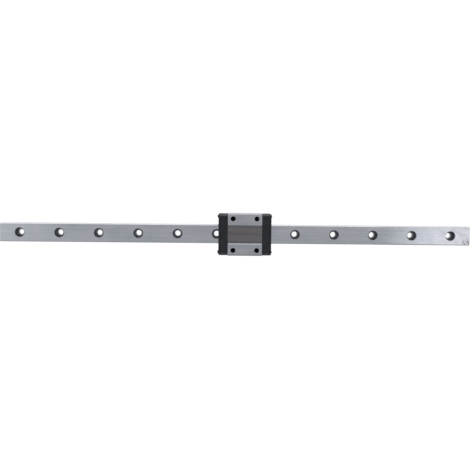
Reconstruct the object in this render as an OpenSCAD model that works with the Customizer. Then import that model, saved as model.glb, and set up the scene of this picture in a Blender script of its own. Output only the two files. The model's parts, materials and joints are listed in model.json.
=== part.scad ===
/* Miniature linear guide: a profiled rail with one short recirculating-ball carriage.
   X runs along the rail, Y across it and Z up, in millimetres.
   The origin is the centre of the rail's bottom face. */

/* [Rail] */
// Length of the rail
rail_l = 300; // [100:25:600]
// Width of the rail
rail_w = 12; // [11.8:0.05:12.2]
// Height of the rail
rail_h = 8; // [7.8:0.1:8.2]
// Chamfer along the rail's top edges
rail_top_chamfer = 0.5; // [0.2:0.1:0.7]
// Chamfer along the rail's bottom edges and round its ends
rail_edge_chamfer = 0.3; // [0.1:0.1:0.6]
// Distance between mounting holes
hole_pitch = 25; // [15:5:60]
// Diameter of the bolt's through hole
bolt_hole_d = 3.5; // [3:0.1:4.2]
// Diameter of the counterbore for the bolt's head
counterbore_d = 6; // [5.5:0.1:7]
// Depth of the counterbore
counterbore_depth = 4.5; // [3.5:0.1:5]

/* [Carriage] */
// Where the carriage's middle stands along the rail
carriage_x = 5.3; // [-30:0.05:30]
// Length of the steel block
block_l = 21.7; // [21.7:0.1:22]
// Width of the steel block
block_w = 27; // [26.8:0.1:27.4]
// Height of the whole guide, from the rail's bottom face to the block's top face
guide_h = 13; // [12.8:0.1:13.4]
// Gap under the carriage
under_gap = 3; // [2.6:0.1:3.2]
// Chamfer along the block's top edges
block_top_chamfer = 0.8; // [0.3:0.1:1]
// Chamfer along the block's bottom edges
block_low_chamfer = 0.4; // [0.2:0.1:0.6]
// Chamfer on the block's top edges next to the end caps
block_end_chamfer = 0.25; // [0.1:0.05:0.4]
// Width of the floor of the shallow recess between the two ground lands on top
recess_w = 11.4; // [10:0.2:12]
// Depth of that recess
recess_depth = 0.25; // [0.1:0.05:0.4]

/* [Top mounting holes] */
// Spacing along the rail
mount_x = 15; // [14:0.5:15]
// Spacing across the rail
mount_y = 20; // [19.5:0.5:20.5]
// Tapping diameter of the M3 holes
mount_tap_d = 2.5; // [2.4:0.05:2.6]
// Depth of the M3 holes
mount_depth = 3.5; // [2.5:0.1:3.6]
// Diameter of the countersink at their mouths
mount_mouth_d = 3.2; // [3:0.1:3.6]

/* [Ball circuits] */
// Diameter of one ball
ball_d = 2.381; // [2.3:0.001:2.385]
// Height of the two ball tracks above the rail's bottom face
track_z = 5.3; // [5.2:0.05:5.5]
// Distance of each loaded row from the rail's middle
track_y = 6.25; // [6.2:0.01:6.25]
// Distance of each return hole from the rail's middle
return_y = 10.1; // [10.1:0.05:10.25]
// Radius of the grooves in the rail and the block
groove_r = 1.22; // [1.215:0.005:1.24]
// Radius of the return holes and of the channels round the ends
channel_r = 1.3; // [1.26:0.01:1.32]
// Straight stretch between the block and each half turn
turn_lead = 0.3; // [0.3:0.05:0.4]
// Number of balls in each circuit
balls_per_circuit = 22; // [22]
// Number of those that carry load at one time
loaded_per_row = 9; // [9]
// Diameter of the wires that keep the balls in when the carriage is off the rail
wire_d = 0.45; // [0.3:0.05:0.45]

/* [End caps and seals] */
// Thickness of an end cap along the rail
cap_t = 4.7; // [4.6:0.1:5.2]
// Thickness of an end seal
seal_t = 1.2; // [1.2:0.1:1.6]
// Width of the end caps and seals
cap_w = 26.5; // [26.2:0.1:26.6]
// Height of the caps' top face
cap_top_z = 12.65; // [12.4:0.05:12.7]
// Size of the bevel along the caps' long top edges
cap_bevel = 1.4; // [0.8:0.1:1.6]
// Radius of the upright corners at the carriage's ends
cap_corner_r = 0.9; // [0.5:0.1:1]
// Diameter of the oil hole in each end
oil_hole_d = 2; // [1.5:0.1:2.4]
// Height of the oil hole
oil_hole_z = 10.5; // [10.3:0.1:10.8]

/* [End screws] */
// Distance of the screws from the rail's middle
screw_y = 11.4; // [11.2:0.05:11.5]
// Height of the screws
screw_z = 7.9; // [7.8:0.05:8]
// Diameter of the screws' heads
screw_head_d = 2.4; // [2.2:0.1:2.6]
// Height of the screws' heads
screw_head_h = 1; // [0.8:0.1:1]
// How far the heads stand out of the seals
screw_proud = 0.6; // [0.3:0.1:0.7]
// Length of the screws under the head
screw_l = 8; // [7:0.5:8.5]

/* [Hidden] */
$fn = 64;
eps = 0.01;
ball_r = ball_d / 2;
hole_count = floor((rail_l - 2 * counterbore_d) / hole_pitch) + 1;
first_hole_x = -(hole_count - 1) * hole_pitch / 2;

// the inside of the block
leg_y = rail_w / 2 + 0.5;
ceiling_z = rail_h + 0.7;
inner_corner = 0.4;

// the height of the cone a drill leaves, as a share of its diameter
drill_cone = 0.29;

// the slot at the bottom of the rail's grooves, where the retaining wires run
slot_half = 0.35;
wire_r = wire_d / 2;
wire_gap = 0.035;
wire_y = track_y - ball_r - wire_gap - wire_r;
slot_y = wire_y - wire_r - 0.15;

// the half turns in the end caps
turn_r = (return_y - track_y) / 2;
turn_y = (return_y + track_y) / 2;
guide_half_h = 1.75;
guide_gap = 0.02;

// places along the rail, measured from the carriage's middle
block_end = block_l / 2;
turn_x = block_end + turn_lead;
cap_end = block_end + cap_t;
seal_end = cap_end + seal_t;

// each ball's place is its distance along the circuit from the middle of the loaded row
straight_l = block_l + 2 * turn_lead;
turn_l = PI * turn_r;
circuit_l = 2 * straight_l + 2 * turn_l;
ball_pitch = circuit_l / balls_per_circuit;
first_return = (loaded_per_row + 1) / 2;

// clearances of the caps and seals from the rail
cap_gap = 0.25;
tongue_r = groove_r - 0.27;
lip_gap = 0.05;
lip_seat_y = rail_w / 2 + 1.3;
lip_seat_z = rail_h + 1;
lip_inset = 0.3;
cap_low_z = under_gap + 0.3;
cap_low_r = 0.8;

// the retaining wires' legs, which lie in grooves in the end caps' outer faces
wire_leg_x = cap_end - 0.6;
wire_leg_y = 8.2;
wire_bend_r = 0.5;
wire_groove = wire_d + 0.06;

// the end screws
thread_r = 0.78;
tap_r = 0.8;
shank_r = 0.98;
screw_clear_r = 1.1;
head_end_x = seal_end + screw_proud;
head_seat_x = head_end_x - screw_head_h;
head_pocket_r = screw_head_d / 2 + 0.1;
tap_l = 3.6;
tap_mouth_d = 2 * tap_r + 0.3;
hex_d = 1;
head_taper = 0.6;
head_tip_r = 0.7;
hex_depth = 0.6;

// the oil gallery on the end caps' inner faces
gallery_w = 0.9;
gallery_depth = 0.6;

steel = [0.60, 0.61, 0.63];
black_steel = [0.13, 0.13, 0.14];
ball_steel = [0.80, 0.81, 0.83];
black_plastic = [0.15, 0.16, 0.18];
green_plastic = [0.24, 0.27, 0.26];
black_rubber = [0.09, 0.09, 0.10];

SIDES = ["front", "back"];
ENDS = ["left", "right"];

// the half turn's angle at a distance along the circuit, where 0 is the loaded row's middle
function on_turn(s) = (s - straight_l / 2) / turn_r * 180 / PI;

// the x and y of a ball centre at distance s along the circuit on the back side
function circuit_point(s) =
    s <= straight_l / 2 ? [s, track_y] :
    s <= straight_l / 2 + turn_l
        ? [straight_l / 2 + turn_r * sin(on_turn(s)), turn_y - turn_r * cos(on_turn(s))] :
    s <= straight_l * 1.5 + turn_l ? [straight_l + turn_l - s, return_y] :
    [-circuit_point(circuit_l - s)[0], circuit_point(circuit_l - s)[1]];

// +1 for the back or right-hand one of a pair, -1 for the other
function sign_of(name) = name == "back" || name == "right" ? 1 : -1;

// turns an outline drawn in Y and Z into a prism of length l along X, centred on x
module prism_x(l, x = 0) {
    translate([x, 0, 0])
        rotate([90, 0, 90])
            linear_extrude(l, center = true)
                children();
}

// a shaft along X from x0 to x1
module rod_x(r, x0, x1, y, z) {
    translate([x0, y, z])
        rotate([0, 90, 0])
            cylinder(r = r, h = x1 - x0);
}

// mirrors its children to the left end or the front side of the carriage
module at_corner(end, side) {
    translate([carriage_x, 0, 0])
        mirror([sign_of(end) > 0 ? 0 : 1, 0, 0])
            mirror([0, sign_of(side) > 0 ? 0 : 1, 0])
                children();
}

// a rectangle with cut corners, of one size at the top and another at the bottom
module cut_corner_outline(w, z0, z1, top_cut, low_cut) {
    polygon([
        [-w / 2 + low_cut, z0], [w / 2 - low_cut, z0],
        [w / 2, z0 + low_cut], [w / 2, z1 - top_cut],
        [w / 2 - top_cut, z1], [-w / 2 + top_cut, z1],
        [-w / 2, z1 - top_cut], [-w / 2, z0 + low_cut]
    ]);
}

// the rail's section, without its grooves, grown by gap on every side but the bottom
module rail_body_outline(gap = 0) {
    cut_corner_outline(rail_w + 2 * gap, -gap, rail_h + gap, rail_top_chamfer, rail_edge_chamfer);
}

// both tracks' circles at once, in Y and Z
module track_circles(r) {
    for (side = [-1, 1])
        translate([side * track_y, track_z])
            circle(r);
}

module rail_outline() {
    difference() {
        rail_body_outline();
        track_circles(groove_r);
        for (side = [-1, 1])
            translate([side * (slot_y + track_y) / 2, track_z])
                square([track_y - slot_y, 2 * slot_half], center = true);
    }
}

module rail() {
    color(steel)
        difference() {
            intersection() {
                prism_x(rail_l)
                    rail_outline();
                // the small chamfers round both ends, seen from above and from the side
                translate([0, 0, -1])
                    linear_extrude(rail_h + 2)
                        rotate(90)
                            cut_corner_outline(rail_w, -rail_l / 2, rail_l / 2,
                                rail_edge_chamfer, rail_edge_chamfer);
                rotate([90, 0, 0])
                    linear_extrude(rail_w + 2, center = true)
                        cut_corner_outline(rail_l, 0, rail_h, rail_edge_chamfer, rail_edge_chamfer);
            }
            for (i = [0:hole_count - 1])
                translate([first_hole_x + i * hole_pitch, 0, 0]) {
                    translate([0, 0, -1])
                        cylinder(d = bolt_hole_d, h = rail_h);
                    translate([0, 0, rail_h - counterbore_depth])
                        cylinder(d = counterbore_d, h = counterbore_depth + 1);
                }
        }
}

// the block's section: a saddle with a groove inside each leg and a return hole through it
module block_outline() {
    difference() {
        cut_corner_outline(block_w, under_gap, guide_h, block_top_chamfer, block_low_chamfer);
        translate([-leg_y, under_gap - 1])
            square([2 * leg_y, ceiling_z - under_gap + 1]);
        for (side = [-1, 1])
            translate([side * leg_y, ceiling_z])
                circle(inner_corner);
        track_circles(groove_r);
        for (side = [-1, 1])
            translate([side * return_y, track_z])
                circle(channel_r);
        recess_outline();
    }
}

// the recess on top of the block, whose walls slope at 45 degrees
module recess_outline() {
    mouth_w = recess_w + 2 * (recess_depth + 1);
    polygon([
        [-recess_w / 2, guide_h - recess_depth], [recess_w / 2, guide_h - recess_depth],
        [mouth_w / 2, guide_h + 1], [-mouth_w / 2, guide_h + 1]
    ]);
}

// a tapped hole's core, with a countersunk mouth and the drill's cone at its end, pointing down
module tapped_hole(d, depth, mouth_d) {
    translate([0, 0, -depth])
        cylinder(d = d, h = depth + 1);
    translate([0, 0, -depth - d * drill_cone])
        cylinder(d1 = 0, d2 = d, h = d * drill_cone + eps);
    translate([0, 0, -(mouth_d - d) / 2])
        cylinder(d1 = d, d2 = mouth_d, h = (mouth_d - d) / 2);
    cylinder(d = mouth_d, h = 1);
}

module carriage_block() {
    color(steel)
        translate([carriage_x, 0, 0])
            difference() {
                intersection() {
                    prism_x(block_l)
                        block_outline();
                    rotate([90, 0, 0])
                        linear_extrude(block_w + 2, center = true)
                            cut_corner_outline(block_l, under_gap, guide_h, block_end_chamfer,
                                block_end_chamfer);
                }
                for (x = [-1, 1], y = [-1, 1])
                    translate([x * mount_x / 2, y * mount_y / 2, guide_h])
                        tapped_hole(mount_tap_d, mount_depth, mount_mouth_d);
                for (end = [-1, 1], y = [-1, 1])
                    translate([end * block_end, y * screw_y, screw_z])
                        rotate([0, end * 90, 0])
                            tapped_hole(2 * tap_r, tap_l, tap_mouth_d);
            }
}

// the space inside the outer shape shared by the caps and seals, from x0 to x1
module end_envelope(x0, x1) {
    intersection() {
        prism_x(x1 - x0, (x0 + x1) / 2)
            cap_outline();
        translate([0, 0, under_gap])
            linear_extrude(guide_h)
                union() {
                    translate([0, -cap_w / 2])
                        square([seal_end - cap_corner_r, cap_w]);
                    translate([0, -cap_w / 2 + cap_corner_r])
                        square([seal_end, cap_w - 2 * cap_corner_r]);
                    for (side = [-1, 1])
                        translate([seal_end - cap_corner_r, side * (cap_w / 2 - cap_corner_r)])
                            circle(cap_corner_r);
                }
    }
}

// the caps' outer outline in Y and Z, with bevelled top edges and round bottom ones
module cap_outline() {
    polygon([
        [-cap_w / 2 + cap_low_r, cap_low_z], [cap_w / 2 - cap_low_r, cap_low_z],
        [cap_w / 2, cap_low_z + cap_low_r], [cap_w / 2, cap_top_z - cap_bevel],
        [cap_w / 2 - cap_bevel, cap_top_z], [-cap_w / 2 + cap_bevel, cap_top_z],
        [-cap_w / 2, cap_top_z - cap_bevel], [-cap_w / 2, cap_low_z + cap_low_r]
    ]);
    for (side = [-1, 1])
        translate([side * (cap_w / 2 - cap_low_r), cap_low_z + cap_low_r])
            circle(cap_low_r);
}

// the way of the balls round one end, on the right and back, from the loaded row to the return hole
module turn_channel(r) {
    translate([turn_x, turn_y, track_z])
        rotate(-90)
            rotate_extrude(angle = 180)
                translate([turn_r, 0])
                    circle(r);
    for (y = [track_y, return_y])
        rod_x(r, block_end - 1, turn_x, y, track_z);
}

// the flat D inside the half turn, grown by gap, before the channel is cut from it
module guide_body(gap = 0) {
    translate([0, 0, track_z - guide_half_h - gap])
        linear_extrude(2 * (guide_half_h + gap)) {
            translate([block_end - gap, turn_y - turn_r - gap])
                square([turn_lead + gap, 2 * (turn_r + gap)]);
            intersection() {
                translate([turn_x, turn_y])
                    circle(turn_r + gap);
                translate([turn_x, turn_y - turn_r - gap])
                    square(2 * (turn_r + gap));
            }
        }
}

module end_cap(end) {
    color(black_plastic)
        at_corner(end, "back")
            difference() {
                end_envelope(block_end, cap_end);
                // the way for the rail, with a tongue left standing in each of its grooves
                prism_x(2 * cap_t + 1, cap_end)
                    difference() {
                        translate([-rail_w / 2 - cap_gap, 0])
                            square([rail_w + 2 * cap_gap, rail_h + cap_gap]);
                        track_circles(tongue_r);
                    }
                for (side = ["front", "back"])
                    mirror([0, side == "back" ? 0 : 1, 0]) {
                        turn_channel(channel_r);
                        guide_body(guide_gap);
                        rod_x(screw_clear_r, block_end - 1, cap_end + 1, screw_y, screw_z);
                        // the groove for the retaining wire's leg
                        translate([wire_leg_x - wire_groove / 2, 0, track_z - wire_groove / 2])
                            cube([cap_t, wire_leg_y + 0.1, wire_groove]);
                        // the oil gallery, from the middle out and down to the half turn
                        translate([block_end - 1, 0, oil_hole_z - gallery_w / 2])
                            cube([1 + gallery_depth, turn_y + gallery_w / 2, gallery_w]);
                        translate([block_end - 1, turn_y - gallery_w / 2, track_z])
                            cube([1 + gallery_depth, gallery_w, oil_hole_z - track_z]);
                    }
                rod_x(oil_hole_d / 2, block_end - 1, cap_end + 1, 0, oil_hole_z);
            }
}

// a saddle that forms the inner side of the balls' half turn
module return_guide(end, side) {
    color(green_plastic)
        at_corner(end, side)
            difference() {
                guide_body();
                turn_channel(channel_r);
            }
}

// the seat for the rubber lip, which follows the rail at a distance
module lip_seat_outline() {
    translate([-lip_seat_y, 0])
        square([2 * lip_seat_y, lip_seat_z]);
}

module seal_frame(end) {
    color(black_plastic)
        at_corner(end, "back")
            difference() {
                end_envelope(cap_end, seal_end);
                prism_x(4 * seal_t, seal_end)
                    lip_seat_outline();
                rod_x(oil_hole_d / 2, cap_end - 1, seal_end + 1, 0, oil_hole_z);
                for (side = [-1, 1]) {
                    rod_x(screw_clear_r, cap_end - 1, seal_end + 1, side * screw_y, screw_z);
                    rod_x(head_pocket_r, head_seat_x, seal_end + 1, side * screw_y, screw_z);
                }
            }
}

// the rubber wiper, shaped to the rail's section with a small gap
module seal_lip(end) {
    color(black_rubber)
        at_corner(end, "back")
            prism_x(seal_t - 2 * lip_inset, (cap_end + seal_end) / 2)
                intersection() {
                    translate([-lip_seat_y, cap_low_z])
                        square([2 * lip_seat_y, lip_seat_z - cap_low_z]);
                    difference() {
                        lip_seat_outline();
                        difference() {
                            rail_body_outline(lip_gap);
                            track_circles(groove_r - lip_gap);
                            for (side = [-1, 1])
                                translate([side * (slot_y + lip_gap + track_y) / 2, track_z])
                                    square([track_y - slot_y - lip_gap, 2 * (slot_half - lip_gap)],
                                        center = true);
                        }
                    }
                }
}

// one screw along X, its tapering head towards +X, with a hexagonal socket
module end_screw() {
    difference() {
        union() {
            rod_x(screw_head_d / 2, head_seat_x, head_end_x - head_taper, screw_y, screw_z);
            translate([head_end_x - head_taper - eps, screw_y, screw_z])
                rotate([0, 90, 0])
                    cylinder(r1 = screw_head_d / 2, r2 = head_tip_r, h = head_taper + eps);
            rod_x(shank_r, block_end, head_seat_x + eps, screw_y, screw_z);
            rod_x(thread_r, head_seat_x - screw_l, block_end + eps, screw_y, screw_z);
        }
        translate([head_end_x - hex_depth, screw_y, screw_z])
            rotate([0, 90, 0])
                cylinder(d = hex_d, h = 1, $fn = 6);
    }
}

module end_screws(end) {
    color(black_steel)
        for (side = SIDES)
            at_corner(end, side)
                end_screw();
}

// a staple-shaped wire: a straight run inside the rail's groove and a leg into each end cap
module retaining_wire(side) {
    color(steel)
        at_corner("right", side)
            for (end = [0, 1])
                mirror([end, 0, 0]) {
                    rod_x(wire_r, 0, wire_leg_x - wire_bend_r, wire_y, track_z);
                    translate([wire_leg_x - wire_bend_r, wire_y + wire_bend_r, track_z])
                        rotate(-90)
                            rotate_extrude(angle = 90)
                                translate([wire_bend_r, 0])
                                    circle(wire_r);
                    translate([wire_leg_x, wire_y + wire_bend_r, track_z])
                        rotate([-90, 0, 0])
                            cylinder(r = wire_r, h = wire_leg_y - wire_y - wire_bend_r);
                }
}

module ball_at(s, side) {
    translate([carriage_x, 0, 0])
        translate([circuit_point(s)[0], sign_of(side) * circuit_point(s)[1], track_z])
            sphere(d = ball_d);
}

// one of the balls that carry load, counted from the left
module loaded_ball(side, i) {
    s = (i - first_return) * ball_pitch;
    color(ball_steel)
        translate([carriage_x + s, sign_of(side) * track_y, track_z])
            sphere(d = ball_d);
}

// the balls on their way back through the end caps and the return hole
module return_balls(side) {
    color(ball_steel)
        for (i = [first_return:balls_per_circuit - first_return])
            ball_at(i * ball_pitch, side);
}

rail();
carriage_block();
for (e = ENDS) {
    end_cap(e);
    seal_frame(e);
    seal_lip(e);
    end_screws(e);
}
for (e = ENDS, s = SIDES)
    return_guide(e, s);
for (s = SIDES) {
    retaining_wire(s);
    return_balls(s);
}
for (s = SIDES, i = [1:loaded_per_row])
    loaded_ball(s, i);
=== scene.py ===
import json
import math

import bmesh
import bpy
from mathutils import Matrix, Vector

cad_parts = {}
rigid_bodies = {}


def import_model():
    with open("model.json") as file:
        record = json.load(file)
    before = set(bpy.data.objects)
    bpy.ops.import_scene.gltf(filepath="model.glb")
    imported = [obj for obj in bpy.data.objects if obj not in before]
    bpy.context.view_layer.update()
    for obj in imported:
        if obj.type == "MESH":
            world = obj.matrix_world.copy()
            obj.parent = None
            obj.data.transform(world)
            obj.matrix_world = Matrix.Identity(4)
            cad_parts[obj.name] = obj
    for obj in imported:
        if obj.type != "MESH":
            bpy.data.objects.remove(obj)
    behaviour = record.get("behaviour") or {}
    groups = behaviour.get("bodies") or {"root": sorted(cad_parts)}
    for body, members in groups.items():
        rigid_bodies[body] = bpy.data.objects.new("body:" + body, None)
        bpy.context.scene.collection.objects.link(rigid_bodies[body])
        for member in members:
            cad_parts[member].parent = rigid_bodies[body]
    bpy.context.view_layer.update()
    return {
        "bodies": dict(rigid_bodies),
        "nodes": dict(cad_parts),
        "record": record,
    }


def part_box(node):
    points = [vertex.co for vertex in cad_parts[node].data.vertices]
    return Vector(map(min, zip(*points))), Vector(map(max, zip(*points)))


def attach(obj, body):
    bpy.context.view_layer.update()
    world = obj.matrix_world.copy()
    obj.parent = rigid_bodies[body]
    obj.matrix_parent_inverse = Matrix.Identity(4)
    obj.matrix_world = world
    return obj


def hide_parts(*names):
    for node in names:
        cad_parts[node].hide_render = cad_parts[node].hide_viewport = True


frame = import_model()
mounts = {m["name"]: m for m in frame["record"]["mounts"]}

# Lengths are in millimetres up to the moment a mesh is made, and MM turns them into metres.
MM = 0.001

# How far a cutter runs past the face where it enters or leaves, so that no two faces coincide.
PAST = 1
# A hair's breadth of leeway, for when places are compared.
HAIR = 0.01


def size_of(node):
    """The lowest and highest corners of a CAD node in millimetres."""
    low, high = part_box(node)
    return low / MM, high / MM


# ---- sizes read from the frame ----
RAIL_LOW, RAIL_HIGH = size_of("rail")
RAIL_HALF_W = RAIL_HIGH.y
RAIL_H = RAIL_HIGH.z
BLOCK_LOW, BLOCK_HIGH = size_of("carriage_block")
CARRIAGE_X = (BLOCK_LOW.x + BLOCK_HIGH.x) / 2
BLOCK_END = (BLOCK_HIGH.x - BLOCK_LOW.x) / 2
BLOCK_HALF_W = BLOCK_HIGH.y
CAP_LOW, CAP_HIGH = size_of("end_cap_right")
CAP_END = CAP_HIGH.x - CARRIAGE_X
CAP_HALF_W = CAP_HIGH.y
SEAL_END = size_of("seal_frame_right")[1].x - CARRIAGE_X
BALL_LOW, BALL_HIGH = size_of("ball_back_1")
BALL_R = (BALL_HIGH.z - BALL_LOW.z) / 2
TRACK_Y = (BALL_LOW.y + BALL_HIGH.y) / 2
TRACK_Z = (BALL_LOW.z + BALL_HIGH.z) / 2
RETURN_Y = size_of("return_balls_back")[1].y - BALL_R
SCREW_LOW, SCREW_HIGH = size_of("end_screws_right")
SCREW_HEAD_R = (SCREW_HIGH.z - SCREW_LOW.z) / 2
SCREW_Y = SCREW_HIGH.y - SCREW_HEAD_R
SCREW_Z = (SCREW_LOW.z + SCREW_HIGH.z) / 2
OIL_R = mounts["oil_port_right"]["dims"]["r_mm"]
OIL_Z = mounts["oil_port_right"]["pos_m"][2] / MM
TOP_HOLES = mounts["carriage_top_bolts"]["dims"]
BOLT_R = mounts["rail_bolts_1"]["dims"]["hole_r_mm"]
RAIL_HOLES = [sign * m["dims"]["spacing_x_mm"] / 2 for name, m in mounts.items()
              if name.startswith("rail_bolts_") for sign in (-1, 1)]

# ---- sizes of the details, as in the CAD model ----
# the rail
COUNTERBORE_R = 3.0
COUNTERBORE_DEPTH = 4.5
RAIL_TOP_CHAMFER = 0.5
RAIL_EDGE_CHAMFER = 0.3
GROOVE_R = 1.22
# the retaining wires, and the slot at the bottom of the rail's grooves that leaves them free
WIRE_R = 0.225
WIRE_GAP = 0.035
WIRE_Y = TRACK_Y - BALL_R - WIRE_GAP - WIRE_R
WIRE_LEG_X = CAP_END - 0.6
WIRE_LEG_Y = 8.2
WIRE_BEND_R = 0.5
SLOT_HALF = 0.35
SLOT_GAP = 0.15
SLOT_Y = WIRE_Y - WIRE_R - SLOT_GAP
# the block
BLOCK_TOP_CHAMFER = 0.8
BLOCK_LOW_CHAMFER = 0.4
LEG_Y = RAIL_HALF_W + 0.5
CEILING_Z = RAIL_H + 0.7
CHANNEL_R = 1.3
RECESS_HALF_W = 5.7
RECESS_DEPTH = 0.25
TAPPED_DEPTH = 3.5
END_HOLE_DEPTH = 3.6
# the height of the cone that a drill leaves, as a share of its radius
DRILL_CONE = 0.58
# the end caps
CAP_GAP = 0.25
TONGUE_R = GROOVE_R - 0.27
CAP_BEVEL = 1.4
CAP_LOW_R = 0.8
CAP_CORNER_R = 0.9
# the balls' half turns, with their guides and the gallery that brings them oil
TURN_R = (RETURN_Y - TRACK_Y) / 2
TURN_Y = (RETURN_Y + TRACK_Y) / 2
TURN_LEAD = 0.3
TURN_X = BLOCK_END + TURN_LEAD
GUIDE_HALF_H = 1.75
GUIDE_GAP = 0.02
OIL_GALLERY = 0.9
OIL_GALLERY_DEPTH = 0.6
# the seals' lips
LIP_SEAT_Y = RAIL_HALF_W + 1.3
LIP_SEAT_Z = RAIL_H + 1.0
LIP_GAP = 0.05
LIP_HALF_T = 0.3
# the end screws
SCREW_LENGTH = 8.0
SCREW_CLEAR_R = 1.1
SCREW_HEAD_H = 1.0
SCREW_PROUD = SCREW_HIGH.x - CARRIAGE_X - SEAL_END
SCREW_TAPER = 0.6
SCREW_TIP_R = 0.7
SOCKET_R = 0.5
SOCKET_DEPTH = 0.6

# ---- sizes of details that the CAD model doesn't have ----
# threads
THREAD_MAJOR_R = 1.5
THREAD_PITCH = 0.5
THREAD_MOUTH = 0.1
SCREW_THREAD_R = 0.98
SCREW_CORE_R = 0.76
SCREW_PITCH = 0.4
# small rounded edges
BLOCK_EDGE = 0.2
END_EDGE = 0.12
BORE_MOUTH = 0.12
# where along the rail its top begins to look worn and its bevels begin to darken
WORN_FROM = 105
BEVELS_DARKEN_FROM = 86

# Points nearer to each other than this, in metres, are one point.
SAME_POINT = 1e-7
# Edges that turn by more than this stay sharp.
SHARP_TURN = math.radians(38)
# Depths of the steel's grain and the plastic's texture, in metres.
GRAIN_DEPTH = 0.01 * MM
MOULD_DEPTH = 0.02 * MM


# ---- outlines: lists of (y, z) points, anticlockwise ----
def arc(cy, cz, r, start, end, steps):
    """Points on a circle, from one angle to another in degrees."""
    angles = [math.radians(start + (end - start) * i / steps) for i in range(steps + 1)]
    return [(cy + r * math.cos(a), cz + r * math.sin(a)) for a in angles]


def fillet(corners, steps):
    """A closed outline of (y, z) or (y, z, radius) corners. A radius rounds its corner, in so many
    steps."""
    points = []
    for i, corner in enumerate(corners):
        here = Vector(corner[:2])
        radius = corner[2] if len(corner) > 2 else 0
        if radius <= 0:
            points.append(tuple(here))
            continue
        before = (Vector(corners[i - 1][:2]) - here).normalized()
        after = (Vector(corners[(i + 1) % len(corners)][:2]) - here).normalized()
        half = before.angle(after) / 2
        centre = here + (before + after).normalized() * radius / math.sin(half)
        first = here + before * radius / math.tan(half) - centre
        last = here + after * radius / math.tan(half) - centre
        turn = math.atan2(first.x * last.y - first.y * last.x, first.dot(last))
        for k in range(steps + 1):
            a = math.atan2(first.y, first.x) + turn * k / steps
            points.append((centre.x + radius * math.cos(a), centre.y + radius * math.sin(a)))
    return points


def both_sides(right):
    """A whole outline from its right half, which runs from the bottom to the top."""
    return right + [(-c[0],) + tuple(c[1:]) for c in reversed(right)]


def inset(corners, distance):
    """The corners moved into the material by a distance; each keeps its radius."""
    points = []
    count = len(corners)
    for i, corner in enumerate(corners):
        before, here, after = (Vector(corners[j % count][:2]) for j in (i - 1, i, i + 1))
        a = (here - before).normalized()
        b = (after - here).normalized()
        normal = Vector((-a.y - b.y, a.x + b.x)).normalized()
        # Sharp corners move further than the sides do, but no more than twice as far.
        moved = here + normal * distance / max(0.5, normal.dot(Vector((-a.y, a.x))))
        points.append((moved.x, moved.y) + tuple(corner[2:]))
    return points


# ---- mesh builders ----
def new_object(name, bm):
    """A Blender object from a bmesh whose lengths are in millimetres."""
    bmesh.ops.scale(bm, vec=(MM, MM, MM), verts=bm.verts)
    bmesh.ops.recalc_face_normals(bm, faces=bm.faces)
    mesh = bpy.data.meshes.new(name)
    bm.to_mesh(mesh)
    bm.free()
    obj = bpy.data.objects.new(name, mesh)
    bpy.context.scene.collection.objects.link(obj)
    return obj


def bridge(bm, loops):
    """Joins rings of the same length with faces, and fills the first and the last."""
    for a, b in zip(loops, loops[1:]):
        count = len(a)
        for i in range(count):
            bm.faces.new((a[i], a[(i + 1) % count], b[(i + 1) % count], b[i]))
    bm.faces.new(list(reversed(loops[0])))
    bm.faces.new(loops[-1])


def loft(name, rings):
    """A solid through rings of (x, y, z) points."""
    bm = bmesh.new()
    bridge(bm, [[bm.verts.new(p) for p in ring] for ring in rings])
    return new_object(name, bm)


def rounded_stations(x0, x1, edge):
    """(x, inset) pairs that round both ends of a prism."""
    steps = 3
    low = []
    for k in range(steps + 1):
        t = math.pi / 2 * k / steps
        low.append((edge * (1 - math.cos(t)), edge * (1 - math.sin(t))))
    return [(x0 + d, i) for d, i in low] + [(x1 - d, i) for d, i in reversed(low)]


def prism(name, corners, x0, x1, edge):
    """An outline drawn out along X, with rounded edges at both ends."""
    rings = []
    for x, distance in rounded_stations(x0, x1, edge):
        rings.append([(x, y, z) for y, z in fillet(inset(corners, distance), 3)])
    return loft(name, rings)


def lathe(name, profile, places, segments, groove=None):
    """Turned solids, one at each place: the profile's (radius, height) points run up the Z axis.
    groove(height, angle) is taken off the radius, as for a thread."""
    bm = bmesh.new()
    for place in places:
        loops = []
        for r, z in profile:
            ring = []
            for i in range(segments):
                a = 2 * math.pi * i / segments
                cut_r = r - (groove(z, a) if groove else 0)
                point = Vector((cut_r * math.cos(a), cut_r * math.sin(a), z))
                ring.append(bm.verts.new(place @ point))
            loops.append(ring)
        bridge(bm, loops)
    return new_object(name, bm)


def tube(name, paths, radius, segments):
    """Round bars along paths of points, each lying in a level plane."""
    bm = bmesh.new()
    for path in paths:
        loops = []
        for i, p in enumerate(path):
            ahead = Vector(path[min(i + 1, len(path) - 1)]) - Vector(path[max(i - 1, 0)])
            side = Vector((0, 0, 1)).cross(ahead).normalized()
            ring = []
            for k in range(segments):
                a = 2 * math.pi * k / segments
                outwards = side * math.cos(a) + Vector((0, 0, math.sin(a)))
                ring.append(bm.verts.new(Vector(p) + radius * outwards))
            loops.append(ring)
        bridge(bm, loops)
    return new_object(name, bm)


def bars(name, boxes):
    """Rectangular cutters, each from a lowest to a highest corner."""
    bm = bmesh.new()
    for low, high in boxes:
        low, high = Vector(low), Vector(high)
        place = Matrix.Translation((low + high) / 2) @ Matrix.Diagonal((*(high - low), 1))
        bmesh.ops.create_cube(bm, size=1, matrix=place)
    return new_object(name, bm)


def apply_modifiers(obj):
    """Replaces the mesh by what its modifiers make of it."""
    depsgraph = bpy.context.evaluated_depsgraph_get()
    mesh = bpy.data.meshes.new_from_object(obj.evaluated_get(depsgraph))
    obj.modifiers.clear()
    obj.data = mesh
    return obj


def cut(obj, tool):
    """Takes the tool's solids off the object, and removes the tool."""
    modifier = obj.modifiers.new("cut", "BOOLEAN")
    modifier.operation = "DIFFERENCE"
    modifier.solver = "EXACT"
    modifier.object = tool
    apply_modifiers(obj)
    bpy.data.objects.remove(tool)


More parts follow.
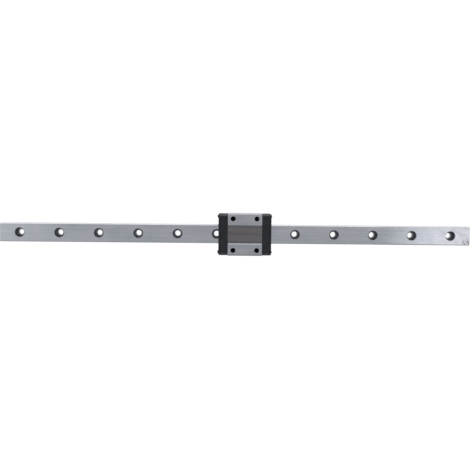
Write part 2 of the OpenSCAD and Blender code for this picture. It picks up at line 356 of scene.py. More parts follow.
def smooth(obj):
    """Smooth shading with sharp edges, with flat faces kept flat next to small fillets."""
    bm = bmesh.new()
    bm.from_mesh(obj.data)
    bmesh.ops.remove_doubles(bm, verts=bm.verts, dist=SAME_POINT)
    bmesh.ops.delete(bm, geom=[e for e in bm.edges if not e.link_faces], context="EDGES")
    bm.to_mesh(obj.data)
    bm.free()
    for polygon in obj.data.polygons:
        polygon.use_smooth = True
    obj.data.set_sharp_from_angle(angle=SHARP_TURN)
    modifier = obj.modifiers.new("normals", "WEIGHTED_NORMAL")
    modifier.keep_sharp = True
    return apply_modifiers(obj)


def place_x(x, y, z, end):
    """A place whose Z axis points along +X with end 1, or along -X with end -1."""
    return Matrix.Translation((x, y, z)) @ Matrix.Rotation(end * math.pi / 2, 4, "Y")


def paint(obj, materials, choose=None):
    """Gives the object its materials: the first one, or for each face what choose(centre in mm,
    normal) returns."""
    obj.data.materials.clear()
    for m in materials:
        obj.data.materials.append(m)
    for polygon in obj.data.polygons:
        chosen = choose(polygon.center / MM, polygon.normal) if choose else materials[0]
        polygon.material_index = materials.index(chosen)


def sloping(normal):
    """Whether a face is neither level nor upright, as the chamfers are."""
    return 0.2 < abs(normal.z) < 0.97


# ---- materials ----
# How noise is stretched: for grain along the rail, across it or up a bore's wall, or not at all.
ALONG = (0.03, 1, 1)
ACROSS = (1, 0.03, 1)
UPWARDS = (1, 1, 0.1)
EVEN = (1, 1, 1)


def new_material(name):
    """A material with a Principled shader, and its node tree, shader and object coordinates."""
    material = bpy.data.materials.new(name)
    material.use_nodes = True
    tree = material.node_tree
    shader = tree.nodes["Principled BSDF"]
    coords = tree.nodes.new("ShaderNodeTexCoord").outputs["Object"]
    return material, tree, shader, coords


def noise(tree, coords, scale, stretch, detail, roughness):
    """Noise with its scale per metre; a small stretch factor draws it out along that axis."""
    mapping = tree.nodes.new("ShaderNodeMapping")
    mapping.inputs["Scale"].default_value = stretch
    tree.links.new(coords, mapping.inputs["Vector"])
    node = tree.nodes.new("ShaderNodeTexNoise")
    node.inputs["Scale"].default_value = scale
    node.inputs["Detail"].default_value = detail
    node.inputs["Roughness"].default_value = roughness
    tree.links.new(mapping.outputs["Vector"], node.inputs["Vector"])
    return node.outputs["Fac"]


def ramp(tree, value, stops):
    """A colour ramp; each stop is (position, colour or grey)."""
    node = tree.nodes.new("ShaderNodeValToRGB")
    elements = node.color_ramp.elements
    while len(elements) < len(stops):
        elements.new(0.5)
    for element, (position, colour) in zip(elements, stops):
        element.position = position
        if not isinstance(colour, tuple):
            colour = (colour, colour, colour)
        element.color = (*colour, 1)
    tree.links.new(value, node.inputs["Fac"])
    return node.outputs["Color"]


def span(tree, value, start, end):
    """Goes from 0 to 1 as a coordinate goes from start to end, in millimetres."""
    node = tree.nodes.new("ShaderNodeMapRange")
    node.inputs["From Min"].default_value = start * MM
    node.inputs["From Max"].default_value = end * MM
    tree.links.new(value, node.inputs["Value"])
    return node.outputs["Result"]


def axes(tree, coords):
    """The X, Y and Z of a position, as sockets by name."""
    node = tree.nodes.new("ShaderNodeSeparateXYZ")
    tree.links.new(coords, node.inputs["Vector"])
    return node.outputs


def mix(tree, factor, a, b, mode="MIX"):
    """Mixes two colours; factor, a and b are sockets or values."""
    node = tree.nodes.new("ShaderNodeMix")
    node.data_type = "RGBA"
    node.blend_type = mode
    # The node has sockets of every type. For colours, input 0 is the factor, 6 and 7 are what is
    # mixed, and output 2 is the mixture.
    for socket, value in ((node.inputs[0], factor), (node.inputs[6], a), (node.inputs[7], b)):
        if isinstance(value, bpy.types.NodeSocket):
            tree.links.new(value, socket)
        elif isinstance(value, tuple):
            socket.default_value = (*value, 1)
        else:
            socket.default_value = value
    return node.outputs[2]


def bump(tree, shader, height, strength, distance):
    """Fine relief from a height; the distance is in metres."""
    node = tree.nodes.new("ShaderNodeBump")
    node.inputs["Strength"].default_value = strength
    node.inputs["Distance"].default_value = distance
    tree.links.new(height, node.inputs["Height"])
    tree.links.new(node.outputs["Normal"], shader.inputs["Normal"])


def worn(tree, coords, colour):
    """Handling marks that grow towards +X: blotches, and at the rail's end dark specks in one corner."""
    place = axes(tree, coords)
    blotch = noise(tree, coords, 260, (0.7, 1, 1), detail=3, roughness=0.7)
    tone = ramp(tree, blotch, [(0.35, (0.86, 0.84, 0.84)), (0.62, (1.08, 1.045, 1.035))])
    blotched = mix(tree, 1.0, colour, tone, "MULTIPLY")
    colour = mix(tree, span(tree, place["X"], WORN_FROM, WORN_FROM + 30), colour, blotched)
    fine = noise(tree, coords, 1100, EVEN, detail=2, roughness=0.5)
    speck = ramp(tree, fine, [(0.5, 0.0), (0.6, 0.85)])
    # Where along each axis, in millimetres, the specks set in and where they are all there.
    for axis, first, full in (("X", 144.5, 146), ("Y", -2.4, -3.6), ("Z", 7.5, 7.9)):
        speck = mix(tree, 1.0, speck, span(tree, place[axis], first, full), "MULTIPLY")
    return mix(tree, speck, colour, (0.12, 0.11, 0.12))


def darker_towards_plus_x(tree, coords, colour):
    """Darker towards +X."""
    dark = mix(tree, 1.0, colour, (0.72, 0.72, 0.72), "MULTIPLY")
    along = axes(tree, coords)["X"]
    return mix(tree, span(tree, along, BEVELS_DARKEN_FROM, BEVELS_DARKEN_FROM + 12), colour, dark)


def steel(name, dark, light, rough, grain=ALONG, grain_scale=9000, smudge=60, grain_bump=0.25, marks=None):
    """Machined steel with fine grain, faint streaks and smudges. The scales are per metre, rough is
    the least and the most roughness, and marks(tree, coords, colour) adds wear or a darkening."""
    material, tree, shader, coords = new_material(name)
    shader.inputs["Metallic"].default_value = 1.0
    fine = noise(tree, coords, grain_scale, grain, detail=3, roughness=0.6)
    long_grain = (grain[0] / 2, grain[1], grain[2])
    streaks = noise(tree, coords, grain_scale / 8, long_grain, detail=4, roughness=0.55)
    cloud = noise(tree, coords, smudge, (0.5, 1, 1), detail=5, roughness=0.6)
    colour = mix(tree, ramp(tree, streaks, [(0.3, 0.0), (0.7, 1.0)]), dark, light)
    tint = ramp(tree, cloud, [(0.3, (0.86, 0.87, 0.9)), (0.7, (1.0, 1.0, 1.0))])
    colour = mix(tree, 1.0, colour, tint, "MULTIPLY")
    if marks:
        colour = marks(tree, coords, colour)
    tree.links.new(colour, shader.inputs["Base Color"])
    low, high = rough
    smudged = ramp(tree, cloud, [(0.3, low), (0.75, high)])
    grained = ramp(tree, fine, [(0.3, low), (0.7, high)])
    tree.links.new(mix(tree, 0.35, smudged, grained), shader.inputs["Roughness"])
    bump(tree, shader, fine, grain_bump, GRAIN_DEPTH)
    return material


def plastic(name, dark, light, rough, scale=700):
    """Moulded plastic with a fine satin texture and faint flow marks."""
    material, tree, shader, coords = new_material(name)
    fine = noise(tree, coords, scale * 6, EVEN, detail=3, roughness=0.6)
    flow = noise(tree, coords, scale * 0.7, (1, 0.6, 1), detail=4, roughness=0.6)
    colour = mix(tree, ramp(tree, flow, [(0.38, 0.0), (0.68, 1.0)]), dark, light)
    tree.links.new(colour, shader.inputs["Base Color"])
    low, high = rough
    tree.links.new(ramp(tree, fine, [(0.3, low), (0.7, high)]), shader.inputs["Roughness"])
    shader.inputs["IOR"].default_value = 1.45
    bump(tree, shader, fine, 0.3, MOULD_DEPTH)
    return material


RAIL_STEEL = steel("rail_ground", dark=(0.50, 0.52, 0.56), light=(0.58, 0.605, 0.655),
                   rough=(0.09, 0.16), smudge=120, grain_bump=0.1, marks=worn)
CUT_STEEL = steel("rail_end_cut", dark=(0.38, 0.39, 0.415), light=(0.49, 0.505, 0.53),
                  rough=(0.26, 0.4), grain=ACROSS, grain_scale=5000, smudge=90)
# A darker copy of the rail's steel for its chamfers: painted shade.
SHADED_BEVEL_STEEL = steel("rail_bevel_painted_shade", dark=(0.29, 0.295, 0.305), light=(0.37, 0.375, 0.385),
                    rough=(0.2, 0.3), smudge=200, marks=darker_towards_plus_x)
# A darker copy of the steel for the block's chamfers: painted shade.
SHADED_EDGE_STEEL = steel("edge_painted_shade", dark=(0.22, 0.225, 0.23), light=(0.29, 0.295, 0.30),
                   rough=(0.25, 0.35), smudge=200)
# A darker copy of the steel for the counterbores' walls, floors and mouths: painted shade inside the
# holes.
SHADED_BORE_STEEL = steel("bore_painted_shade", dark=(0.15, 0.16, 0.18), light=(0.27, 0.28, 0.31),
                   rough=(0.4, 0.55), grain=UPWARDS, grain_scale=5000)
LAND_STEEL = steel("block_ground", dark=(0.395, 0.41, 0.445), light=(0.485, 0.50, 0.54),
                   rough=(0.26, 0.38), smudge=120)
RECESS_STEEL = steel("block_recess", dark=(0.138, 0.132, 0.137), light=(0.205, 0.196, 0.202),
                     rough=(0.42, 0.6), smudge=160)
# Near-black steel for the walls and mouths of the tapped holes: painted shade inside the holes.
SHADED_THREAD_STEEL = steel("thread_painted_shade", dark=(0.012, 0.013, 0.015), light=(0.03, 0.032, 0.036),
                     rough=(0.45, 0.6), grain=EVEN)
BALL_STEEL = steel("ball_lapped", dark=(0.7, 0.71, 0.72), light=(0.8, 0.81, 0.82),
                   rough=(0.08, 0.14), grain=EVEN, grain_bump=0.02)
WIRE_STEEL = steel("wire_drawn", dark=(0.45, 0.45, 0.46), light=(0.6, 0.6, 0.61), rough=(0.25, 0.35))
SCREW_STEEL = steel("screw_oxide", dark=(0.02, 0.02, 0.022), light=(0.045, 0.045, 0.05),
                    rough=(0.35, 0.5), grain=EVEN)
CAP_PLASTIC = plastic("cap_moulded", dark=(0.0, 0.0005, 0.004), light=(0.009, 0.011, 0.020),
                      rough=(0.3, 0.42))
GUIDE_PLASTIC = plastic("guide_moulded", dark=(0.03, 0.045, 0.04), light=(0.05, 0.065, 0.06),
                        rough=(0.4, 0.5))
LIP_RUBBER = plastic("lip_rubber", dark=(0.008, 0.008, 0.009), light=(0.014, 0.014, 0.015),
                     rough=(0.6, 0.75), scale=1100)


# ---- the rail ----
def groove_points(side_y, d):
    """The ball groove and its slot, d wider than their size. The points run from the groove's lower
    lip to its upper one, both at y = side_y."""
    r, half = GROOVE_R + d, SLOT_HALF + d
    lip = math.degrees(math.acos((side_y - TRACK_Y) / r))
    slot = 180 - math.degrees(math.asin(half / r))
    lower = arc(TRACK_Y, TRACK_Z, r, 360 - lip, 360 - slot, 10)
    upper = arc(TRACK_Y, TRACK_Z, r, slot, lip, 10)
    return lower + [(SLOT_Y - d, TRACK_Z - half), (SLOT_Y - d, TRACK_Z + half)] + upper


def rail_outline(d):
    """The rail's section with each of its faces d further in."""
    w, h = RAIL_HALF_W - d, RAIL_H - d
    low_soft, top_soft = 0.08, 0.12
    # A chamfer's leg gets this much shorter when its face and both its neighbours move in by d.
    shorter = d * (2 - math.sqrt(2))
    low, top = RAIL_EDGE_CHAMFER - shorter, RAIL_TOP_CHAMFER - shorter
    right = [(w - low, d, low_soft), (w, d + low, low_soft)]
    right += groove_points(w, d)
    right += [(w, h - top, top_soft), (w - top, h, top_soft)]
    return fillet(both_sides(right), 3)


def make_rail():
    """The rail's section drawn out, with its ends chamfered and its counterbored holes cut."""
    w, h = RAIL_HALF_W, RAIL_H
    stations = rounded_stations(RAIL_LOW.x, RAIL_HIGH.x, RAIL_EDGE_CHAMFER)
    rail = loft("rail_profile", [[(x, y, z) for y, z in rail_outline(d)] for x, d in stations])
    seat = h - COUNTERBORE_DEPTH
    foot, seat_edge, corner = 0.2, 0.15, 0.2
    profile = [(BOLT_R + foot + PAST, -PAST), (BOLT_R, foot)]
    profile += [(BOLT_R, seat - seat_edge), (BOLT_R + seat_edge, seat)]
    profile += [(COUNTERBORE_R - corner, seat), (COUNTERBORE_R, seat + corner)]
    profile += [(COUNTERBORE_R, h - BORE_MOUTH), (COUNTERBORE_R + BORE_MOUTH + PAST, h + PAST)]
    places = [Matrix.Translation((x, 0, 0)) for x in RAIL_HOLES]
    cut(rail, lathe("rail_hole_cutter", profile, places, segments=96))
    smooth(rail)

    def choose(centre, normal):
        near = min(math.hypot(centre.x - x, centre.y) for x in RAIL_HOLES)
        # The counterbores and their mouths take the darker steel: painted shade inside the holes.
        if near < COUNTERBORE_R + BORE_MOUTH and HAIR < centre.z < h - HAIR:
            return SHADED_BORE_STEEL
        if abs(normal.x) > 0.99:
            return CUT_STEEL
        by_a_side = abs(centre.y) > w - RAIL_TOP_CHAMFER
        between = RAIL_EDGE_CHAMFER < centre.z < h - RAIL_TOP_CHAMFER
        # The chamfers take the darker steel: painted shade.
        return SHADED_BEVEL_STEEL if by_a_side and not between and sloping(normal) else RAIL_STEEL

    paint(rail, [RAIL_STEEL, SHADED_BEVEL_STEEL, SHADED_BORE_STEEL, CUT_STEEL], choose)
    return rail


# ---- the block ----
def thread(pitch, depth, low, high):
    """What a screw thread takes off the radius at a height and angle, up to its depth. It fades out
    towards low and high."""
    # These leave flats at the root and the crest, each a fifth of the pitch wide.
    steepness, flat = 1.7, 0.35

    def groove(z, angle):
        phase = (z / pitch - angle / (2 * math.pi)) % 1
        share = max(0.0, min(1.0, steepness * abs(2 * phase - 1) - flat))
        fade = max(0.0, min(1.0, (z - low) / pitch, (high - z) / pitch))
        return depth * share * fade
    return groove


def tapped_hole_cutter(name, places, major, minor, depth, pitch, segments=48):
    """The empty space of tapped holes: a cone at the bottom, the thread and a countersunk mouth."""
    rows_per_turn, tip_r = 8, 0.02
    rows = int(depth / pitch * rows_per_turn)
    profile = [(tip_r, -depth - minor * DRILL_CONE), (minor, -depth)]
    profile += [(major, -depth + (depth - THREAD_MOUTH) * i / rows) for i in range(1, rows + 1)]
    profile += [(major + THREAD_MOUTH + PAST, PAST)]
    threaded = thread(pitch, major - minor, -depth + HAIR, -THREAD_MOUTH)
    return lathe(name, profile, places, segments, threaded)


def make_block():
    """The steel block: its section drawn out, with the return holes and the tapped holes cut."""
    x0, x1 = BLOCK_LOW.x, BLOCK_HIGH.x
    w, top, low = BLOCK_HALF_W, BLOCK_HIGH.z, BLOCK_LOW.z
    # The groove turns this many degrees from its middle until it meets the leg's inner face.
    lip = 78.2
    right = [(LEG_Y, CEILING_Z, 0.3)] + arc(TRACK_Y, TRACK_Z, GROOVE_R, lip, -lip, 20)
    right += [(LEG_Y, low, 0.15)]
    right += [(w - BLOCK_LOW_CHAMFER, low, 0.1), (w, low + BLOCK_LOW_CHAMFER, 0.1)]
    right += [(w, top - BLOCK_TOP_CHAMFER, 0.15), (w - BLOCK_TOP_CHAMFER, top, 0.15)]
    right += [(RECESS_HALF_W + RECESS_DEPTH, top, 0.06), (RECESS_HALF_W, top - RECESS_DEPTH, 0.08)]
    block = prism("block", both_sides(right), x0, x1, BLOCK_EDGE)
    returns = [[(x, s * RETURN_Y, TRACK_Z) for x in (x0 - PAST, x1 + PAST)] for s in (-1, 1)]
    cut(block, tube("return_hole_cutter", returns, CHANNEL_R, segments=48))
    half_x, half_y = TOP_HOLES["spacing_x_mm"] / 2, TOP_HOLES["spacing_y_mm"] / 2
    tops = [Matrix.Translation((CARRIAGE_X + sx * half_x, sy * half_y, top))
            for sx in (-1, 1) for sy in (-1, 1)]
    cut(block, tapped_hole_cutter("top_hole_cutter", tops, THREAD_MAJOR_R, TOP_HOLES["hole_r_mm"],
                                  TAPPED_DEPTH, THREAD_PITCH))
    ends = [place_x(CARRIAGE_X + e * BLOCK_END, s * SCREW_Y, SCREW_Z, e)
            for e in (-1, 1) for s in (-1, 1)]
    # The end screws' threads get a little room.
    major, minor = SCREW_THREAD_R + 0.02, SCREW_CORE_R + 0.04
    cut(block, tapped_hole_cutter("end_hole_cutter", ends, major, minor, END_HOLE_DEPTH,
                                  SCREW_PITCH, segments=32))
    smooth(block)
    # These bounds hold the walls of the tapped holes, and the floor of the recess.
    hole_r, below_holes = THREAD_MAJOR_R + 0.12, top - TAPPED_DEPTH - 1
    recess_low, recess_high = top - RECESS_DEPTH - 0.05, top - 0.15

    def choose(centre, normal):
        near = min(math.hypot(centre.x - m.translation.x, centre.y - m.translation.y) for m in tops)
        # The tapped holes and their countersunk mouths take the near-black steel: painted shade.
        if near < hole_r and below_holes < centre.z < top - HAIR:
            return SHADED_THREAD_STEEL
        if abs(centre.y) < RECESS_HALF_W and recess_low < centre.z < recess_high:
            return RECESS_STEEL
        # The block's chamfers take the darker steel: painted shade.
        if sloping(normal) and abs(centre.y) > w - BLOCK_TOP_CHAMFER - 0.05:
            return SHADED_EDGE_STEEL
        return LAND_STEEL

    paint(block, [LAND_STEEL, RECESS_STEEL, SHADED_THREAD_STEEL, SHADED_EDGE_STEEL], choose)
    return block


# ---- the end caps and seals, made for the right end and mirrored for the left ----
def end_outline(d, side, opening_y, opening_z, tongue_r=None):
    """The caps' and seals' outline, d further in than the full size, with the sides another distance
    in. The opening leaves the rail free; tongue_r adds tongues that reach into its grooves."""
    w = CAP_HALF_W - d - side
    low, top = CAP_LOW.z + d, CAP_HIGH.z - d
    corners = [(opening_y + d, opening_z + d, 0.2)]
    if tongue_r:
        corners += arc(opening_y + d, TRACK_Z, tongue_r, 90, 270, 16)
    corners += [(opening_y + d, low, 0.15), (w, low, CAP_LOW_R)]
    corners += [(w, top - CAP_BEVEL + side, 0.1), (CAP_HALF_W - d - CAP_BEVEL, top, 0.15)]
    return fillet(both_sides(corners), 6)


def end_solid(name, end, x0, x1, opening_y, opening_z, tongue_r=None, outermost=False):
    """A slice of the carriage's end from x0 to x1, with small rounded edges. The outermost slice has
    rounded upright corners too."""
    stations = [(x, d, 0.0) for x, d in rounded_stations(x0, x1, END_EDGE)]
    if outermost:
        # The corner's arc stops short of a quarter turn, and the end face takes over from there.
        steps, arc_share, face_share = 6, 0.92, 0.97
        stations = [s for s in stations if s[0] < x1 - CAP_CORNER_R]
        for k in range(1, steps + 1):
            a = math.pi / 2 * k / steps * arc_share
            x = x1 - CAP_CORNER_R + CAP_CORNER_R * math.sin(a)
            d = max(0.0, END_EDGE - (x1 - x))
            stations.append((x, d, CAP_CORNER_R * (1 - math.cos(a))))
        stations.append((x1, END_EDGE, CAP_CORNER_R * (1 - math.cos(math.pi / 2 * face_share))))
    rings = []
    for x, d, side in stations:
        outline = end_outline(d, side, opening_y, opening_z, tongue_r)
        rings.append([(CARRIAGE_X + end * x, y, z) for y, z in outline])
    return loft(name, rings)


def half_turn(r, step):
    """(x, y) points round one end of a ball circuit, from the loaded row to the return hole."""
    angles = [math.radians(a) for a in range(0, 181, step)]
    return [(TURN_X + r * math.sin(a), TURN_Y - r * math.cos(a)) for a in angles]


def turn_path(end, s):
    """The balls' way round one end, as points, running past the block's face at both ends."""
    points = [(BLOCK_END - PAST, TRACK_Y)] + half_turn(TURN_R, 9) + [(BLOCK_END - PAST, RETURN_Y)]
    return [(CARRIAGE_X + end * x, s * y, TRACK_Z) for x, y in points]


def guide_pocket(end, s):
    """The pocket of one return guide: a D seen from above."""
    r, half_h = TURN_R + GUIDE_GAP, GUIDE_HALF_H + GUIDE_GAP
    outline = [(BLOCK_END - PAST, TURN_Y - r)] + half_turn(r, 6) + [(BLOCK_END - PAST, TURN_Y + r)]
    rings = [[(CARRIAGE_X + end * x, s * y, TRACK_Z + h) for x, y in outline]
             for h in (-half_h, half_h)]
    return loft("guide_pocket", rings)


def make_end_cap(end):
    """A moulded cap, hollowed for the rail, the balls' half turns, their guides, the screws, the oil
    and the wires."""
    opening_y, opening_z = RAIL_HALF_W + CAP_GAP, RAIL_H + CAP_GAP
    cap = end_solid("end_cap", end, BLOCK_END, CAP_END, opening_y, opening_z, tongue_r=TONGUE_R)
    cut(cap, tube("turn_cutter", [turn_path(end, s) for s in (-1, 1)], CHANNEL_R, segments=40))
    for s in (-1, 1):
        cut(cap, guide_pocket(end, s))
    # The straight cutters start on the block's side of the cap's inner face.
    start, through = CARRIAGE_X + end * (BLOCK_END - PAST), 8
    shafts = [place_x(start, s * SCREW_Y, SCREW_Z, end) for s in (-1, 1)]
    shaft = [(SCREW_CLEAR_R, 0), (SCREW_CLEAR_R, through)]
    cut(cap, lathe("shaft_cutter", shaft, shafts, segments=40))
    oil_way = [(OIL_R, 0), (OIL_R, through)]
    cut(cap, lathe("oil_cutter", oil_way, [place_x(start, 0, OIL_Z, end)], segments=40))
    # The oil's gallery runs along the inner face.
    half = OIL_GALLERY / 2
    x0, x1 = sorted((start, CARRIAGE_X + end * (BLOCK_END + OIL_GALLERY_DEPTH)))
    gallery = ((x0, -TURN_Y - half, OIL_Z - half), (x1, TURN_Y + half, OIL_Z + half))
    cut(cap, bars("gallery_cutter", [gallery]))
    # The drops from it to the half turns are slightly narrower, so that no two faces coincide.
    half_drop = half - 0.001
    drops = [((x0, s * TURN_Y - half_drop, TRACK_Z), (x1, s * TURN_Y + half_drop, OIL_Z))
             for s in (-1, 1)]
    cut(cap, bars("drop_cutter", drops))
    # The grooves for the wires' legs run outwards from the opening.
    half_groove, within_opening = WIRE_R + 0.03, 4.0
    low_z, high_z = TRACK_Z - half_groove, TRACK_Z + half_groove
    x0, x1 = sorted((CARRIAGE_X + end * (WIRE_LEG_X - half_groove), CARRIAGE_X + end * (CAP_END + PAST)))
    for s in (-1, 1):
        y0, y1 = sorted((s * within_opening, s * (WIRE_LEG_Y + 0.1)))
        cut(cap, bars("wire_cutter", [((x0, y0, low_z), (x1, y1, high_z))]))
    smooth(cap)
    paint(cap, [CAP_PLASTIC])
    return cap


def screw_seats(end):
    """The places where the undersides of one end's two screw heads lie, facing outwards."""
    seat = SEAL_END + SCREW_PROUD - SCREW_HEAD_H
    return [place_x(CARRIAGE_X + end * seat, s * SCREW_Y, SCREW_Z, end) for s in (-1, 1)]


def make_seal_frame(end):
    """A seal's plate, with pockets for the screws' heads and a flared oil hole."""
    plate = end_solid("seal_frame", end, CAP_END, SEAL_END, LIP_SEAT_Y, LIP_SEAT_Z, outermost=True)
    through, pocket_r, flare = 3, SCREW_HEAD_R + 0.1, 0.15
    pocket = [(SCREW_CLEAR_R, -through), (SCREW_CLEAR_R, 0), (pocket_r, 0), (pocket_r, 2)]
    cut(plate, lathe("pocket_cutter", pocket, screw_seats(end), segments=48))
    oil_way = [(OIL_R, -through), (OIL_R, -flare), (OIL_R + flare + PAST, PAST)]
    mouth = place_x(CARRIAGE_X + end * SEAL_END, 0, OIL_Z, end)
    cut(plate, lathe("oil_cutter", oil_way, [mouth], segments=48))
    smooth(plate)
    paint(plate, [CAP_PLASTIC])
    return plate


def make_seal_lip(end):
    """A rubber wiper: thick in its seat and thin where it meets the rail, whose section it follows."""
    w, h = RAIL_HALF_W + LIP_GAP, RAIL_H + LIP_GAP
    low = CAP_LOW.z
    middle = (CAP_END + SEAL_END) / 2
    r = GROOVE_R - LIP_GAP
    slot_y, slot_half = SLOT_Y + LIP_GAP, SLOT_HALF - LIP_GAP
    # Half the height of the groove's mouth, and degrees from its middle to the mouth and to the slot.
    mouth_half, to_mouth, to_slot = 1.14, 77, 15
    inner = [(w, low), (w, TRACK_Z - mouth_half)]
    inner += arc(TRACK_Y, TRACK_Z, r, 180 + to_mouth, 180 + to_slot, 8)
    inner += [(slot_y, TRACK_Z - slot_half), (slot_y, TRACK_Z + slot_half)]
    inner += arc(TRACK_Y, TRACK_Z, r, 180 - to_slot, 180 - to_mouth, 8)
    inner += [(w, TRACK_Z + mouth_half), (w, h - RAIL_TOP_CHAMFER), (w - RAIL_TOP_CHAMFER, h)]
    inner += [(w / 2, h)]
    # Each point of the wiping edge has a partner on the seat: up its side, then along its top.
    outer = []
    for i, (y, z) in enumerate(inner):
        if z >= h - HAIR:
            outer.append((y if y < w - 1 else LIP_SEAT_Y, LIP_SEAT_Z))
        else:
            outer.append((LIP_SEAT_Y, low + (LIP_SEAT_Z - low) * i / (len(inner) - 2)))
    inner += [(-y, z) for y, z in reversed(inner)]
    outer += [(-y, z) for y, z in reversed(outer)]
    # How far from the seat to the rail, from 0 to 1, and half the lip's thickness there.
    section = [(0, LIP_HALF_T), (0.35, LIP_HALF_T - 0.02), (0.8, 0.15), (1, 0.1)]
    section += [(share, -half) for share, half in reversed(section)]
    bm = bmesh.new()
    loops = []
    for (yi, zi), (yo, zo) in zip(inner, outer):
        ring = []
        for share, half in section:
            y, z = yo + (yi - yo) * share, zo + (zi - zo) * share
            ring.append(bm.verts.new((CARRIAGE_X + end * (middle + half), y, z)))
        loops.append(ring)
    bridge(bm, loops)
    lip = smooth(new_object("seal_lip", bm))
    paint(lip, [LIP_RUBBER])
    return lip


def make_end_screws(end):
    """Two small screws with low round heads and hexagonal sockets."""
    rows = 90
    tip_r, tip_h = 0.3, 0.2
    # The rows of points stop short of both ends of the shank, whose far half is threaded.
    short, threaded_length = 0.25, 4.0
    profile = [(tip_r, -SCREW_LENGTH), (SCREW_CORE_R, -SCREW_LENGTH + tip_h)]
    profile += [(SCREW_THREAD_R, -SCREW_LENGTH + short + (SCREW_LENGTH - 2 * short) * i / rows)
                for i in range(rows + 1)]
    shoulder = SCREW_HEAD_H - SCREW_TAPER
    edge, soft, rim_h, rim_w = 0.06, 0.03, 0.04, 0.05
    profile += [(SCREW_THREAD_R, 0), (SCREW_HEAD_R - edge, 0), (SCREW_HEAD_R, edge)]
    profile += [(SCREW_HEAD_R, shoulder - soft), (SCREW_HEAD_R - soft, shoulder + soft)]
    profile += [(SCREW_TIP_R + rim_h, SCREW_HEAD_H - rim_h), (SCREW_TIP_R - rim_w, SCREW_HEAD_H)]
    threaded = thread(SCREW_PITCH, SCREW_THREAD_R - SCREW_CORE_R,
                      -SCREW_LENGTH + tip_h, -SCREW_LENGTH + threaded_length)
    places = screw_seats(end)
    screws = lathe("end_screws", profile, places, segments=32, groove=threaded)
    socket = [(SOCKET_R, SCREW_HEAD_H - SOCKET_DEPTH), (SOCKET_R, SCREW_HEAD_H + PAST)]
    cut(screws, lathe("socket_cutter", socket, places, segments=6))
    smooth(screws)
    paint(screws, [SCREW_STEEL])
    return screws


# ---- wires and balls ----
def make_wire(s):
    """A staple: a straight run along the row of balls, bent outwards into both end caps."""
    angles = [math.radians(a) for a in range(0, 91, 10)]
    bend = [(WIRE_LEG_X - WIRE_BEND_R + WIRE_BEND_R * math.sin(a),
             WIRE_Y + WIRE_BEND_R - WIRE_BEND_R * math.cos(a)) for a in angles]
    half = [(0, WIRE_Y)] + bend + [(WIRE_LEG_X, WIRE_LEG_Y)]
    whole = [(-x, y) for x, y in reversed(half[1:])] + half
    path = [(CARRIAGE_X + x, s * y, TRACK_Z) for x, y in whole]
    wire = tube("retaining_wire", [path], WIRE_R, segments=20)
    smooth(wire)
    paint(wire, [WIRE_STEEL])
    return wire


def make_balls(name, centres):
    """Balls: each is a cube with cells by cells squares on a face, blown up to a sphere."""
    cells = 10
    steps = [math.tan((2 * i / cells - 1) * math.pi / 4) for i in range(cells + 1)]
    bm = bmesh.new()
    for centre in centres:
        for axis in range(3):
            for sign in (-1, 1):
                grid = []
                for u in steps:
                    row = []
                    for v in steps:
                        p = [sign, u, v]
                        p = p[-axis:] + p[:-axis]
                        row.append(bm.verts.new(Vector(centre) + Vector(p).normalized() * BALL_R))
                    grid.append(row)
                for i in range(cells):
                    for j in range(cells):
                        bm.faces.new((grid[i][j], grid[i + 1][j], grid[i + 1][j + 1], grid[i][j + 1]))
    bmesh.ops.remove_doubles(bm, verts=bm.verts, dist=SAME_POINT / MM)
    ball = smooth(new_object(name, bm))
    paint(ball, [BALL_STEEL])
    return ball


def ball_centres(node):
    """The centre of each separate ball in a CAD node."""
    bm = bmesh.new()
    bm.from_mesh(frame["nodes"][node].data)
    bmesh.ops.remove_doubles(bm, verts=bm.verts, dist=SAME_POINT)
    left, centres = set(bm.verts), []
    while left:
        island, waiting = set(), [left.pop()]
        while waiting:
            v = waiting.pop()
            island.add(v)
            for edge in v.link_edges:
                other = edge.other_vert(v)
                if other in left:
                    left.discard(other)
                    waiting.append(other)
        low = Vector([min(v.co[i] for v in island) for i in range(3)])
        high = Vector([max(v.co[i] for v in island) for i in range(3)])
        centres.append((low + high) / 2 / MM)
    bm.free()
    return sorted(centres, key=lambda c: (round(c.x, 3), round(c.y, 3)))


def use(piece, body, slot_name, *nodes):
    """The piece rides on a body and stands for these CAD nodes."""
    piece.name = nodes[0] + "_visual"
    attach(piece, body)
    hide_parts(*nodes)


use(make_rail(), "rail", "rail_steel", "rail")
use(make_block(), "carriage", "block_steel", "carriage_block")
for end_name, end in (("left", -1), ("right", 1)):
    use(make_end_cap(end), "carriage", "cap_plastic", f"end_cap_{end_name}")
    use(make_seal_frame(end), "carriage", "cap_plastic", f"seal_frame_{end_name}")
    use(make_seal_lip(end), "carriage", "seal_rubber", f"seal_lip_{end_name}")
    use(make_end_screws(end), "carriage", "screw_steel", f"end_screws_{end_name}")
for side_name, s in (("front", -1), ("back", 1)):
    use(make_wire(s), "carriage", "wire_steel", f"retaining_wire_{side_name}")
    node = f"return_balls_{side_name}"
    use(make_balls(node, ball_centres(node)), "carriage", "ball_steel", node)
for body in frame["bodies"]:
    if body.startswith("ball_"):
        use(make_balls(body, ball_centres(body)), body, "ball_steel", body)
for name, obj in frame["nodes"].items():
    if name.startswith("return_guide_"):
        obj.data.materials.clear()
        obj.data.materials.append(GUIDE_PLASTIC)


# ---- floor, light and camera ----
def make_floor():
    """A round white floor, so wide that its rim looks like the horizon."""
    radius = 60000
    bm = bmesh.new()
    bmesh.ops.create_circle(bm, cap_ends=True, radius=radius, segments=128)
    floor = new_object("floor", bm)
    material = bpy.data.materials.new("floor_white")
    material.use_nodes = True
    shader = material.node_tree.nodes["Principled BSDF"]
    shader.inputs["Base Color"].default_value = (0.15, 0.15, 0.15, 1)
    shader.inputs["Roughness"].default_value = 0.9
    shader.inputs["Emission Color"].default_value = (1, 1, 1, 1)
    shader.inputs["Emission Strength"].default_value = 0.95
    floor.data.materials.append(material)


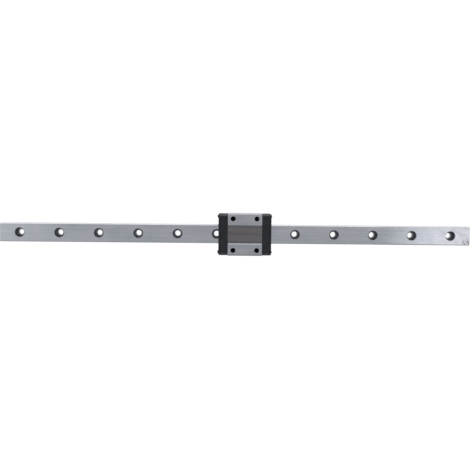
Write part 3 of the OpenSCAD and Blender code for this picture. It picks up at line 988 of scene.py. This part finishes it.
def area_light(name, location, size, target, radiance):
    """A white soft box of a given brightness, turned to a target; lengths in millimetres."""
    data = bpy.data.lights.new(name, "AREA")
    data.shape = "RECTANGLE"
    data.size, data.size_y = size[0] * MM, size[1] * MM
    data.energy = radiance * math.pi * data.size * data.size_y
    light = bpy.data.objects.new(name, data)
    light.location = Vector(location) * MM
    light.visible_camera = False
    light.rotation_euler = (Vector(target) - Vector(location)).to_track_quat("-Z", "Y").to_euler()
    bpy.context.scene.collection.objects.link(light)


def make_world():
    """A pale tent: dim overhead and in front, brighter behind the part and beyond both ends of the
    rail. Seen directly it is as white as the floor."""
    world = bpy.data.worlds.new("studio")
    bpy.context.scene.world = world
    world.use_nodes = True
    tree = world.node_tree
    place = axes(tree, tree.nodes.new("ShaderNodeTexCoord").outputs["Generated"])
    # X and Y run from -1 to 1, and a ramp takes 0 to 1.
    share = {}
    for axis in "XY":
        node = tree.nodes.new("ShaderNodeMapRange")
        node.inputs["From Min"].default_value = -1.0
        tree.links.new(place[axis], node.inputs["Value"])
        share[axis] = node.outputs["Result"]
    # Brightness by height: 0 is the horizon and 1 is straight up.
    height = ramp(tree, place["Z"], [(0.0, 0.8), (0.35, 0.75), (0.8, 0.54), (1.0, 0.53)])
    # Brightness by depth: 0 is in front, 0.5 above and 1 behind.
    depth = ramp(tree, share["Y"], [(0.0, 0.42), (0.4, 1.0), (0.458, 1.0), (0.478, 0.93)])
    # Brightness by side: 0 is the rail's left-hand end, 0.5 above and 1 its right-hand end.
    left = [(0.25, 0.38), (0.33, 0.65), (0.365, 0.53), (0.39, 0.445), (0.412, 0.41), (0.437, 0.39)]
    middle = [(0.462, 0.38), (0.55, 0.38)]
    right = [(0.603, 0.38), (0.613, 0.43), (0.622, 0.6), (0.633, 1.0), (0.645, 0.9), (0.656, 0.77)]
    right += [(0.7, 0.73), (0.78, 0.38)]
    side = ramp(tree, share["X"], left + middle + right)
    colour = mix(tree, 1.0, mix(tree, 1.0, height, depth, "MULTIPLY"), side, "MULTIPLY")
    tent = tree.nodes["Background"]
    tree.links.new(colour, tent.inputs["Color"])
    tent.inputs["Strength"].default_value = 3.0
    plain = tree.nodes.new("ShaderNodeBackground")
    plain.inputs["Color"].default_value = (1, 1, 1, 1)
    seen = tree.nodes.new("ShaderNodeMixShader")
    tree.links.new(tree.nodes.new("ShaderNodeLightPath").outputs["Is Camera Ray"], seen.inputs[0])
    tree.links.new(tent.outputs[0], seen.inputs[1])
    tree.links.new(plain.outputs[0], seen.inputs[2])
    tree.links.new(seen.outputs[0], tree.nodes["World Output"].inputs["Surface"])


def make_camera():
    """The camera stands nearly above the rail, a little behind it, and is rolled until the rail is
    almost level in the picture."""
    camera_at = Vector((-12.0, 31.0, 500.0))
    look_at = Vector((-0.86, -0.56, 8.0))
    roll = math.radians(0.62)
    data = bpy.data.cameras.new("camera")
    data.sensor_width = 36.0
    data.lens = 59.2
    data.clip_start = 0.01
    camera = bpy.data.objects.new("camera", data)
    forward = (look_at - camera_at).normalized()
    right = forward.cross(Vector((0, 1, 0))).normalized()
    up = right.cross(forward)
    turned_right = right * math.cos(roll) + up * math.sin(roll)
    turned_up = up * math.cos(roll) - right * math.sin(roll)
    camera.matrix_world = Matrix.Translation(camera_at * MM) @ Matrix(
        (turned_right, turned_up, -forward)).transposed().to_4x4()
    bpy.context.scene.collection.objects.link(camera)
    bpy.context.scene.camera = camera


make_floor()
make_world()
area_light("softbox_back", location=(0, 700, 60), size=(900, 240), target=(0, 0, 0), radiance=2.8)
make_camera()
bpy.context.scene.view_settings.view_transform = "Standard"
